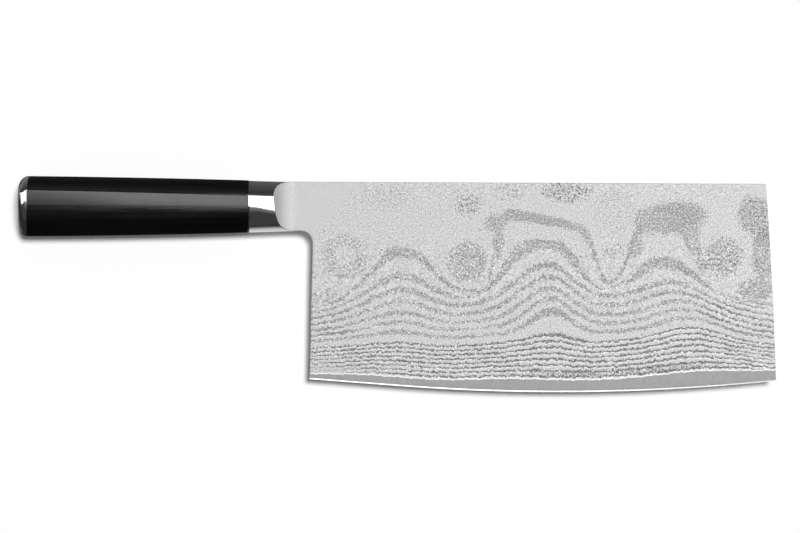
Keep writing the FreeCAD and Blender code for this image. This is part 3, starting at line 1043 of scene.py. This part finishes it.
def cloudWeight(share, rise, place, edge):
    # 1 inside an ellipse and 0 outside it, with a soft edge
    middle, height, halfLength, halfHeight = place
    away = np.hypot((share - middle) * edgeLength / halfLength, (rise - height) / halfHeight)
    return 1 - smoothStep(*edge, away)


def patternFields(flat, pattern):
    # layer number and its slope, density of the clouds, coarseness of their dots, depth of the etching
    # and height above the cladding's end
    shape = bothPatterns
    share = (flat[..., 0] - heelX) / edgeLength
    rise = flat[..., 1] - cladY(flat[..., 0])
    layer = layerNumber(share, rise, pattern)
    step = shape["slopeStep"]
    across = (layerNumber(share, rise + step, pattern) - layer) / step
    along = (layerNumber(share + step / edgeLength, rise, pattern) - layer) / step
    slope = np.minimum(np.hypot(across, along), shape["steepest"])
    cloud = np.zeros_like(rise)
    dotted = np.zeros_like(rise)
    for middle, height, radius, width, density, fill in pattern["rings"]:
        away = np.hypot((share - middle) * edgeLength, rise - height)
        filled = np.where(away < radius, fill, 0.0)
        ring = np.maximum(np.exp(-((away - radius) / width) ** shape["ringPower"]), filled)
        cloud = np.maximum(cloud, density * ring)
    for *place, density in pattern["clouds"]:
        cloud = np.maximum(cloud, density * cloudWeight(share, rise, place, shape["cloudEdge"]))
    for *place, density, coarse in pattern["dots"]:
        weight = cloudWeight(share, rise, place, shape["cloudEdge"])
        cloud = np.maximum(cloud, density * weight)
        dotted = np.maximum(dotted, coarse * smoothStep(*shape["dottedEdge"], weight))
    # nothing is etched on the neck or in the corner at the toe, and little at the heel
    satinEnd = np.interp(rise, *shape["satin"])
    etch = smoothStep(satinEnd + shape["satinEdge"][0], satinEnd + shape["satinEdge"][1], share)
    etch = etch * (1 - cloudWeight(share, rise, shape["bareCorner"], shape["bareEdge"]))
    heel = (1 - smoothStep(0.0, shape["heelShare"], share)) * (1 - smoothStep(*shape["heelRise"], rise))
    etch = etch * (1 - shape["heelFade"] * heel)
    return dict(zip(plainFields, (layer, slope, cloud * etch, dotted, etch, rise)))


bladeFlat = bladeGrid()
bladeDistance = outlineDistance(bladeFlat)


def makeCladding(name, node, side, pattern):
    # outer face: the patch at half the ground thickness, dropped round the eased outline;
    # inner face: the same patch on the core; walls join the two borders
    rows, cols = bladeFlat.shape[:2]
    x = bladeFlat[..., 0]
    y = bladeFlat[..., 1]
    outerZ = halfThickness(y) - easedDrop(bladeDistance, bladeShape["outlineEase"])
    outer = stackPoints(x, y, side * outerZ).reshape(-1, 3)
    inner = stackPoints(x, y, side * bladeShape["coreThickness"] / 2).reshape(-1, 3)
    number = np.arange(rows * cols).reshape(rows, cols)
    border = np.concatenate([number[0, :-1], number[:-1, -1], number[-1, :0:-1], number[:0:-1, 0]])
    follow = np.roll(border, -1)
    wall = np.stack([follow, border, border + rows * cols, follow + rows * cols], axis=-1)
    face = gridFaces(rows, cols)
    blocks = [(face, 0), (face[:, ::-1] + rows * cols, 0), (wall, 0)]
    fields = patternFields(bladeFlat, pattern)
    both = {n: np.concatenate([fields[n].ravel(), np.full(rows * cols, plainFields[n])]) for n in fields}
    points = np.concatenate([outer, inner])
    makePiece(name, points, blocks, node, [patternSteel], bladeShape["cladCrease"], both)


def makeCore():
    # sheet between the claddings, then the bare band, the thinning bevel and the cutting bevel, and the same
    # back up the other side; rungs close the toe and the back
    shape = bladeShape
    rows, cols = bladeFlat.shape[:2]
    clad = bladeFlat[-1]
    share = (clad[:, 0] - clad[0, 0]) / (clad[-1, 0] - clad[0, 0])
    edgeX = heelX + edgeLength * share
    edge = np.stack([edgeX, edgeY(edgeX)], axis=-1)
    span = np.linalg.norm(clad - edge, axis=1)
    bevel = shape["edgeBevelHeight"]
    edgeHalf = shape["edgeFlat"] / 2
    bevelHalf = edgeHalf + bevel * shape["edgeBevelSlope"]
    thinSlope = (shape["thicknessBehindEdge"] / 2 - bevelHalf) / (shape["thinBevelHeight"] - bevel)
    thinHalf = bevelHalf - bevel * thinSlope
    shoulder = (halfThickness(edge[:, 1]) - thinHalf) / (thinSlope - faceTaper)
    shoulder = np.minimum(shoulder, span * shape["shoulderShare"])
    stops = np.stack([span, (shoulder + span) / 2, shoulder, np.full_like(span, bevel), np.zeros_like(span)])
    band = edge + (clad - edge) * (stops / span)[..., None]
    bandX = band[..., 0]
    bandY = band[..., 1]
    bandZ = np.minimum(halfThickness(bandY), thinHalf + thinSlope * stops)
    bandZ = np.minimum(bandZ, edgeHalf + shape["edgeBevelSlope"] * stops)
    away = np.minimum(bandX - backEdgeX(bandY), toeEdgeX(bandY) - bandX)
    ease = np.minimum(shape["outlineEase"], bandZ * shape["bandEaseShare"])
    bandZ = bandZ - easedDrop(np.maximum(away, 0.0), ease)
    half = np.concatenate([bladeFlat, band])
    halfZ = np.concatenate([np.full((rows, cols), shape["coreThickness"] / 2), bandZ])
    right = stackPoints(half[..., 0], half[..., 1], halfZ)
    left = stackPoints(half[..., 0], half[..., 1], -halfZ)[::-1]
    loops = np.concatenate([right, left])
    count = len(loops)
    ringFaces = gridFaces(count, cols, wrapRows=True).reshape(count, cols - 1, 4)
    honed = np.zeros(count, dtype=bool)
    honed[len(half) - 2:len(half) + 1] = True
    rung = np.arange(len(half) - 1)
    backEnd = np.stack([rung, rung + 1, count - 2 - rung, count - 1 - rung], axis=-1) * cols
    toeEnd = backEnd[:, ::-1] + cols - 1
    blocks = [
        (ringFaces[~honed].reshape(-1, 4), 0),
        (ringFaces[honed].reshape(-1, 4), 1),
        (backEnd, 0),
        (toeEnd, 0),
    ]
    makePiece(
        "bladeCore", loops.reshape(-1, 3), blocks, "blade_core", [coreSteel, honedSteel],
        shape["coreCrease"])


# Bolster: the handle's section, hollowed on each side by an arc that runs out on the blade's face

bolsterShape = {
    "scoopRadius": 8.5,
    "scoopEase": 0.35,
    "steepRise": 6.0,  # slope of the height past the end of the scoop's arc
    "lowerPull": 0.48,
    "pullReach": 10.0,
    "collarColumns": 18,
    "rimColumns": 12,
    "rimReach": 0.5,
    "scoopColumns": 26,
    "tenonLength": 4.0,
    "tenonSize": (14.0, 7.0),
    "socketDepth": 5.0,
    "socketSize": (10.0, 3.0),
    "crease": 35.0,
}


def scoopHeight(x, y):
    # half thickness left by the scoop: an arc that starts level with the blade's face at the weld
    radius = bolsterShape["scoopRadius"]
    back = np.maximum(weldX - x, 0.0)
    arc = radius - np.sqrt(np.maximum(radius ** 2 - np.minimum(back, radius) ** 2, 0.0))
    return halfThickness(y) + arc + bolsterShape["steepRise"] * np.maximum(back - radius, 0.0)


def bolsterSection(x):
    # the handle's section, fuller under the crest towards the scoop
    shape = bolsterShape
    fuller = smoothStep(woodSeamX, woodSeamX + shape["pullReach"], x)
    pull = handleShape["lowerPull"] + (shape["lowerPull"] - handleShape["lowerPull"]) * fuller
    return handleSection(*handleSizes(x), lowerShare=pull)


def softMinimum(first, second, blend):
    # the smaller of two heights, rounded where they come within the blend of each other
    overlap = np.maximum(blend - np.abs(first - second), 0.0)
    return np.minimum(first, second) - overlap ** 2 / (4 * blend)


def makeBolster():
    # halving finds where each line along the section meets the scoop, and columns crowd there
    shape = bolsterShape
    low = np.full((1, aroundPoints), weldX - shape["scoopRadius"])
    high = np.full((1, aroundPoints), weldX)
    for step in range(searchSteps):
        x = (low + high) / 2
        y, z = bolsterSection(x)
        outside = np.abs(z) > scoopHeight(x, y)
        high = np.where(outside, x, high)
        low = np.where(outside, low, x)
    reach = shape["rimReach"]
    rim = np.minimum(high, weldX - 2 * reach)
    ease = handleShape["seamEase"]
    collar = column(np.linspace(0, 1, shape["collarColumns"], endpoint=False))
    crowd = column(np.linspace(-1, 1, shape["rimColumns"], endpoint=False))
    run = column(np.linspace(0, 1, shape["scoopColumns"]))
    start = woodSeamX + ease
    x = np.concatenate([
        np.full((1, aroundPoints), woodSeamX),
        start + (rim - reach - start) * collar,
        rim + reach * crowd,
        rim + reach + (weldX - rim - reach) * run,
    ])
    y, z = bolsterSection(x)
    z = np.sign(z) * softMinimum(np.abs(z), scoopHeight(x, y), shape["scoopEase"])
    tucked = np.ones((len(x), 1))
    tucked[0] = 1 - ease / handleShape["top"][2]
    body = stackPoints(x, y * tucked, z * tucked)[::-1]
    tenonX = woodSeamX - shape["tenonLength"]
    socketX = woodSeamX + shape["socketDepth"]
    inside = [
        ovalRing(woodSeamX, *shape["tenonSize"]),
        ovalRing(tenonX, *shape["tenonSize"]),
        boxRing(tenonX, *shape["socketSize"]),
        boxRing(socketX, *shape["socketSize"]),
    ]
    rings = np.concatenate([body, inside])
    count = len(rings) * aroundPoints
    points = np.concatenate([rings.reshape(-1, 3), [[weldX, 0.0, 0.0], [socketX, 0.0, 0.0]]])
    scoopRows = shape["scoopColumns"] - 1 + shape["rimColumns"] // 2
    ringFaces = gridFaces(len(rings), aroundPoints, wrapCols=True).reshape(-1, aroundPoints, 4)
    blocks = [
        (ringFaces[:scoopRows].reshape(-1, 4), 1),
        (ringFaces[scoopRows:].reshape(-1, 4), 0),
        (fanFaces(0, aroundPoints, count, False), 0),
        (fanFaces(count - aroundPoints, aroundPoints, count + 1, True), 0),
    ]
    fields = {n: np.full(len(points), v) for n, v in plainFields.items()}
    makePiece(
        "bolsterSteel", points, blocks, "bolster", [polishedSteel, patternSteel],
        shape["crease"], fields)


makeGrip()
makeCap()
makeBolster()
makeCladding("rightCladding", "right_cladding", 1, rightPattern)
makeCladding("leftCladding", "left_cladding", -1, leftPattern)
makeCore()

# The inner pieces keep their CAD shape and get their finishes
for nodeName, finish in (("tang_bar", tangSteel), ("tang_stud", tangSteel), ("adhesive_bed", epoxy)):
    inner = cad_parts[nodeName]
    inner.data.materials.clear()
    inner.data.materials.append(finish)
print("inner pieces finished")


# Floor: a sheet of white paper under the handle

floorLook = {"paper": (0.95, 0.95, 0.95, 1.0), "glow": 0.09, "halfSize": 4.0}


def addStage(name, points, faces, finish):
    mesh = bpy.data.meshes.new(name)
    mesh.from_pydata(np.asarray(points).tolist(), [], np.asarray(faces).tolist())
    mesh.materials.append(finish)
    stage = bpy.data.objects.new(name, mesh)
    bpy.context.scene.collection.objects.link(stage)
    return stage


def makeFloor():
    # level plane that the lowest part of the handle touches
    finish, tree, shader = newFinish("paperFloor")
    path = addNode(tree, "ShaderNodeLightPath", {}).outputs
    seen = math(tree, "MAXIMUM", path["Is Camera Ray"], path["Is Glossy Ray"])
    seen = math(tree, "MAXIMUM", seen, path["Is Transmission Ray"])
    feed(tree, shader, {
        "Base Color": floorLook["paper"],
        "Roughness": 1.0,
        "Specular IOR Level": 0.0,
        "Emission Color": white,
        "Emission Strength": times(tree, seen, floorLook["glow"]),
    })
    sides = np.array([-1, 1, 1, -1]) * floorLook["halfSize"]
    addStage("paperFloor", stackPoints(sides, np.roll(sides, 1), cadLow.z), [[0, 1, 2, 3]], finish)
    print("floor laid")


makeFloor()


# Light: a soft key from the upper right, a dim room, and panels that only reflections show

keySet = {"lean": (0.20, 0.205), "strength": 2.9, "angle": np.radians(15.0), "room": 0.065}
panelSet = {
    "edgePanel": {
        "middle": (0.345, -0.68, 0.90), "along": (0.0, 1.0, 0.0), "facing": (0.0, 0.0, 1.0),
        "width": 0.39, "length": 0.14, "radiance": 3.2},
    "endPanel": {
        "middle": (-0.308, -0.2585, 0.4065), "along": (0.384, -0.133, 0.379),
        "facing": (-0.39, -0.2475, 0.3255), "width": 0.10, "length": 0.55, "radiance": 2.4},
    "scoopPanel": {
        "middle": (1.06, 0.0, 0.57), "along": (0.0, 1.0, 0.0), "facing": (0.86, 0.0, 0.51),
        "width": 0.50, "length": 0.80, "radiance": 4.4},
}
sideSet = {
    "middle": (0.086, -0.535, 0.90), "along": (0.454, 0.891, 0.0), "facing": (0.0, 0.0, 1.0), "length": 0.37,
    "left": -0.40, "right": 0.23, "radiance": 1.2,
    "steps": 6, "stepLeft": (-0.358, -0.05), "stepRadiance": 2.0, "stepGap": 0.004,
    "fadeShare": 0.12, "fadeRadiances": (0.20, 0.13, 0.08),
}


def addPanel(name, look):
    # flat lamp that shines against the direction it faces from
    along = Vector(look["along"]).normalized()
    across = along.cross(Vector(look["facing"])).normalized()
    panel = bpy.data.lights.new(name, "AREA")
    panel.shape = "RECTANGLE"
    panel.size = look["width"]
    panel.size_y = look["length"]
    panel.energy = look["radiance"] * np.pi * look["width"] * look["length"]
    panelObject = bpy.data.objects.new(name, panel)
    turned = Matrix((across, along, across.cross(along))).transposed().to_4x4()
    panelObject.matrix_world = Matrix.Translation(Vector(drawOrigin) + Vector(look["middle"])) @ turned
    panelObject.visible_diffuse = False
    bpy.context.scene.collection.objects.link(panelObject)


def addSidePanels():
    # a wide panel, brighter strips on it whose left ends step inwards, and dim strips past its far end
    side = sideSet
    along = Vector(side["along"]).normalized()
    across = along.cross(Vector(side["facing"])).normalized()

    def addStrip(name, start, end, left, radiance, gap=0.0):
        # start and end are shares of the panel's length; the gap lies between a strip and the panel above it
        middle = Vector(side["middle"]) - along * (((start + end) / 2 - 0.5) * side["length"])
        middle = middle + across * ((left + side["right"]) / 2) - Vector(side["facing"]) * gap
        addPanel(name, {
            "middle": middle, "along": side["along"], "facing": side["facing"],
            "width": side["right"] - left, "length": (end - start) * side["length"], "radiance": radiance})

    addStrip("sidePanel", 0.0, 1.0, side["left"], side["radiance"])
    for step in range(side["steps"]):
        start = step / side["steps"]
        end = (step + 1) / side["steps"]
        left = side["stepLeft"][0] + (side["stepLeft"][1] - side["stepLeft"][0]) * (start + end) / 2
        addStrip("sideStep" + str(step), start, end, left, side["stepRadiance"], side["stepGap"])
    for step, radiance in enumerate(side["fadeRadiances"]):
        start = 1 + step * side["fadeShare"]
        addStrip("sideFade" + str(step), start, start + side["fadeShare"], side["left"], radiance)


def makeLights():
    key = bpy.data.lights.new("keyLight", "SUN")
    key.energy = keySet["strength"]
    key.angle = keySet["angle"]
    keyObject = bpy.data.objects.new("keyLight", key)
    towardsKey = Vector((*keySet["lean"], 1.0))
    keyObject.rotation_euler = towardsKey.to_track_quat("Z", "Y").to_euler()
    bpy.context.scene.collection.objects.link(keyObject)
    for name, look in panelSet.items():
        addPanel(name, look)
    addSidePanels()
    world = bpy.data.worlds.new("dimRoom")
    world.use_nodes = True
    room = world.node_tree.nodes["Background"]
    feed(world.node_tree, room, {"Color": white, "Strength": keySet["room"]})
    bpy.context.scene.world = world
    print("lights placed")


makeLights()


# Dark cards close beside the handle, as a studio sets them for polished things: only reflections show them
# Each card: its line on the floor, its height, the heights between which its glow changes, and the two glows

cardSet = {
    "farBolster": (((110.0, 16.0), (88.7, 16.3)), 24.0, (0.0, 24.0), (0.16, 0.05)),
    "farWood": (((88.7, 16.3), (3.4, 17.3)), 32.0, (12.0, 32.0), (0.055, 0.40)),
    "farCap": (((3.4, 17.3), (-8.0, 17.5), (-8.0, 6.0)), 24.0, (0.0, 24.0), (0.26, 0.05)),
    "gapCap": (((-8.0, 6.0), (-8.0, 0.5)), 16.0, (2.0, 10.0), (0.28, 0.03)),
    "nearCap": (((-8.0, -17.5), (-8.0, 0.5)), 24.0, (2.0, 10.0), (0.28, 0.035)),
    "nearWood": (((88.3, -16.0), (-8.0, -17.5)), 24.0, (0.0, 24.0), (0.035, 0.035)),
    "nearBolster": (((110.0, -30.0), (88.6, -30.0)), 22.0, (8.0, 19.0), (0.80, 0.05)),
}
underSet = {
    "corners": ((-8.0, -17.0), (-8.0, 17.0), (88.0, 17.0), (88.0, -17.0)),
    "gap": 0.3,
    "fade": (0.0, 1.0),
    "glow": (0.03, 0.03),
}


def makeCard(name, points, faces, fade, glow):
    # black card whose glow changes from its foot to its top
    finish, tree, shader = newFinish(name + "Card")
    place = addNode(tree, "ShaderNodeTexCoord", {}).outputs["Object"]
    level = addNode(tree, "ShaderNodeSeparateXYZ", {"Vector": place}).outputs["Z"]
    low, high = [cadLow.z + height * mm for height in fade]
    feed(tree, shader, {
        "Base Color": black,
        "Specular IOR Level": 0.0,
        "Emission Color": white,
        "Emission Strength": ramp(tree, level, low, high, *glow),
    })
    card = addStage(name + "Card", points, faces, finish)
    card.visible_camera = False
    card.visible_diffuse = False
    card.visible_transmission = False
    card.visible_shadow = False


def makeCards():
    # upright strips along lines on the floor, and one that lies under the wood
    for name, (places, height, fade, glow) in cardSet.items():
        line = np.array(places) * mm + drawOrigin[:2]
        level = column([0.0, height * mm]) + cadLow.z
        strip = stackPoints(line[:, 0], line[:, 1], level).reshape(-1, 3)
        makeCard(name, strip, gridFaces(2, len(line)), fade, glow)
    corners = np.array(underSet["corners"]) * mm + drawOrigin[:2]
    sheet = stackPoints(corners[:, 0], corners[:, 1], cadLow.z + underSet["gap"] * mm)
    makeCard("under", sheet, [[0, 1, 2, 3]], underSet["fade"], underSet["glow"])
    print("cards set")


makeCards()


# Camera: straight above the blade; its distance and clip are in metres, the rest in mm

cameraSet = {
    "distance": 1.1,
    "clip": (0.01, 50.0),
    "aim": (147.13, -23.24, 0.0),
    "widthSeen": 308.68,
    "sensor": 36.0,
}


def makeCamera():
    look = cameraSet
    lens = bpy.data.cameras.new("overheadCamera")
    lens.sensor_width = look["sensor"]
    lens.lens = look["sensor"] * look["distance"] / (look["widthSeen"] * mm)
    lens.clip_start, lens.clip_end = look["clip"]
    camera = bpy.data.objects.new("overheadCamera", lens)
    camera.location = Vector(drawOrigin) + Vector(look["aim"]) * mm + Vector((0.0, 0.0, look["distance"]))
    bpy.context.scene.collection.objects.link(camera)
    bpy.context.scene.camera = camera
    print("camera placed")


makeCamera()
bpy.context.scene.view_settings.view_transform = "Standard"
